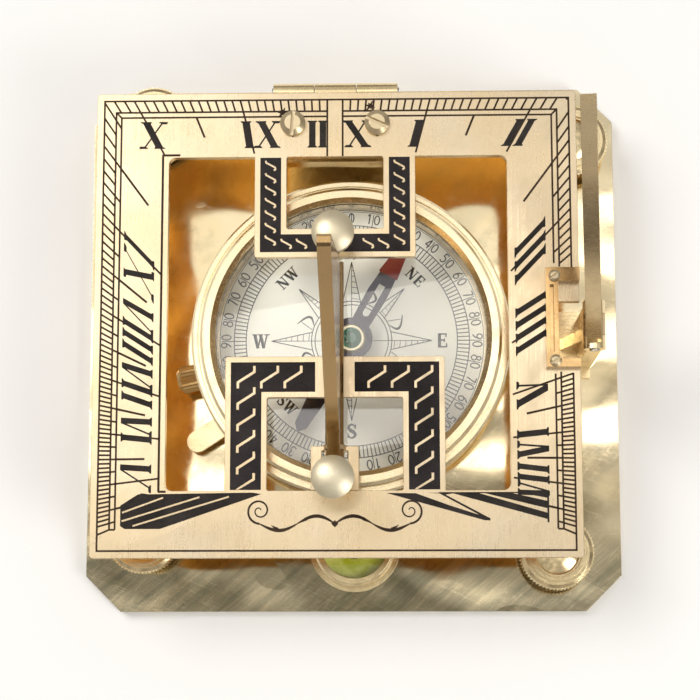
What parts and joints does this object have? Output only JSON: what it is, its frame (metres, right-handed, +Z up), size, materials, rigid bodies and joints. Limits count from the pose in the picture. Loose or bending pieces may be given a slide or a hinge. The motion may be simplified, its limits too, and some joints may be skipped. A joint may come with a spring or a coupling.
{
  "type": "pocket sundial",
  "caption": "Folding brass sundial: hinged square dial plate with gnomon and latitude arc over a compass, on a square base with levelling screws and a bull's-eye level.",
  "frame": {"origin": "centre of the base plate's underside, which is the face that the instrument rests on", "axes": "+Z up, +Y towards the dial hinge (north), +X east"},
  "size_m": [0.076, 0.076, 0.0539],
  "materials": {
    "polished_brass": "mirror polished, fine wiping scratches",
    "brass": "polished, turned",
    "dial_brass": "pale satin, fine straight grain",
    "dark_brass": "aged, less polished",
    "steel": "bright turned steel",
    "needle_steel": "darkened steel",
    "card": "printed cream card",
    "ink": "black print",
    "enamel": "black filled engraving",
    "red_paint": "red paint",
    "glass": "clear, polished",
    "fluid": "yellow-green spirit",
    "jewel": "green stone, polished"
  },
  "bodies": {
    "base": {"base_plate": "polished_brass", "compass_bowl": "brass", "bowl_screws": "dark_brass", "bezel_ring": "brass", "compass_glass": "glass", "compass_card": "card", "needle_pivot": "steel", "lever_pin": "steel", "level_housing": "brass", "level_glass": "glass", "level_fluid": "fluid", "hinge_stand": "brass", "hinge_pin": "steel", "hinge_stand_screws": "dark_brass", "arc_stand": "brass", "arc_stand_screws": "dark_brass", "arc_pin": "steel"},
    "needle": {"compass_needle": "needle_steel", "needle_cap": "brass", "jewel_bearing": "jewel"},
    "lift_lever": {"lift_lever": "brass"},
    "lift_collar": {"lift_collar": "brass"},
    "lock_screw": {"bowl_lock_screw": "dark_brass"},
    "dial": {"dial_plate": "dial_brass", "hinge_leaf": "brass", "hinge_screws": "brass", "bearing_block": "dial_brass", "block_screws": "dark_brass", "gnomon_pin": "steel", "north_post": "polished_brass", "north_post_nut": "dark_brass", "south_post": "polished_brass", "arc_guide": "dial_brass", "guide_screws": "brass"},
    "gnomon": {"gnomon_blade": "polished_brass"},
    "arc": {"latitude_arc": "dial_brass"},
    "foot_ne": {"foot_pad_ne": "dark_brass"},
    "screw_ne": {"levelling_screw_ne": "brass"},
    "foot_nw": {"foot_pad_nw": "dark_brass"},
    "screw_nw": {"levelling_screw_nw": "brass"},
    "foot_se": {"foot_pad_se": "dark_brass"},
    "screw_se": {"levelling_screw_se": "brass"},
    "foot_sw": {"foot_pad_sw": "dark_brass"},
    "screw_sw": {"levelling_screw_sw": "brass"}
  },
  "joints": [
    {"name": "dial_tilt", "type": "hinge", "parent": "base", "child": "dial", "pos_m": [-0.002, 0.0341, 0.0148], "axis": [-1, 0, 0], "range_deg": [0, 65]},
    {"name": "gnomon_fold", "type": "hinge", "parent": "dial", "child": "gnomon", "pos_m": [-0.002, -0.0055, 0.0189], "axis": [0, 1, 0], "range_deg": [-88, 0]},
    {"name": "arc_fold", "type": "hinge", "parent": "base", "child": "arc", "pos_m": [0.033, -0.0002, 0.0205], "axis": [0, 1, 0], "range_deg": [-84, 6]},
    {"name": "needle_spin", "type": "hinge", "parent": "base", "child": "needle", "pos_m": [0, 0, 0.0084], "axis": [0, 0, 1], "continuous": true},
    {"name": "lift_lever_tilt", "type": "hinge", "parent": "base", "child": "lift_lever", "pos_m": [-0.01708, -0.01097, 0.005], "axis": [0.5402, -0.8415, 0], "range_deg": [0, 2.2]},
    {"name": "collar_lift", "type": "slide", "parent": "base", "child": "lift_collar", "axis": [0, 0, 1], "range_m": [0, 0.00069]},
    {"name": "lock_screw_turn", "type": "hinge", "parent": "base", "child": "lock_screw", "pos_m": [-0.02144, -0.00495, 0.0066], "axis": [-0.9744, -0.225, 0], "range_deg": [0, 360]},
    {"name": "foot_slide_ne", "type": "slide", "parent": "base", "child": "foot_ne", "axis": [0, 0, -1], "range_m": [0, 0.003]},
    {"name": "screw_turn_ne", "type": "hinge", "parent": "foot_ne", "child": "screw_ne", "pos_m": [0.0315, 0.0288, 0.0075], "axis": [0, 0, -1], "range_deg": [0, 1080]},
    {"name": "foot_slide_nw", "type": "slide", "parent": "base", "child": "foot_nw", "axis": [0, 0, -1], "range_m": [0, 0.003]},
    {"name": "screw_turn_nw", "type": "hinge", "parent": "foot_nw", "child": "screw_nw", "pos_m": [-0.0285, 0.032, 0.0075], "axis": [0, 0, -1], "range_deg": [0, 1080]},
    {"name": "foot_slide_se", "type": "slide", "parent": "base", "child": "foot_se", "axis": [0, 0, -1], "range_m": [0, 0.003]},
    {"name": "screw_turn_se", "type": "hinge", "parent": "foot_se", "child": "screw_se", "pos_m": [0.0285, -0.03, 0.0075], "axis": [0, 0, -1], "range_deg": [0, 1080]},
    {"name": "foot_slide_sw", "type": "slide", "parent": "base", "child": "foot_sw", "axis": [0, 0, -1], "range_m": [0, 0.003]},
    {"name": "screw_turn_sw", "type": "hinge", "parent": "foot_sw", "child": "screw_sw", "pos_m": [-0.0292, -0.0276, 0.0075], "axis": [0, 0, -1], "range_deg": [0, 1080]}
  ],
  "couplings": [
    {"joint": "lift_lever_tilt", "follows": "collar_lift", "rad_per_m": 54.945},
    {"joint": "screw_turn_ne", "follows": "foot_slide_ne", "rad_per_m": 6283.2},
    {"joint": "screw_turn_nw", "follows": "foot_slide_nw", "rad_per_m": 6283.2},
    {"joint": "screw_turn_se", "follows": "foot_slide_se", "rad_per_m": 6283.2},
    {"joint": "screw_turn_sw", "follows": "foot_slide_sw", "rad_per_m": 6283.2}
  ]
}
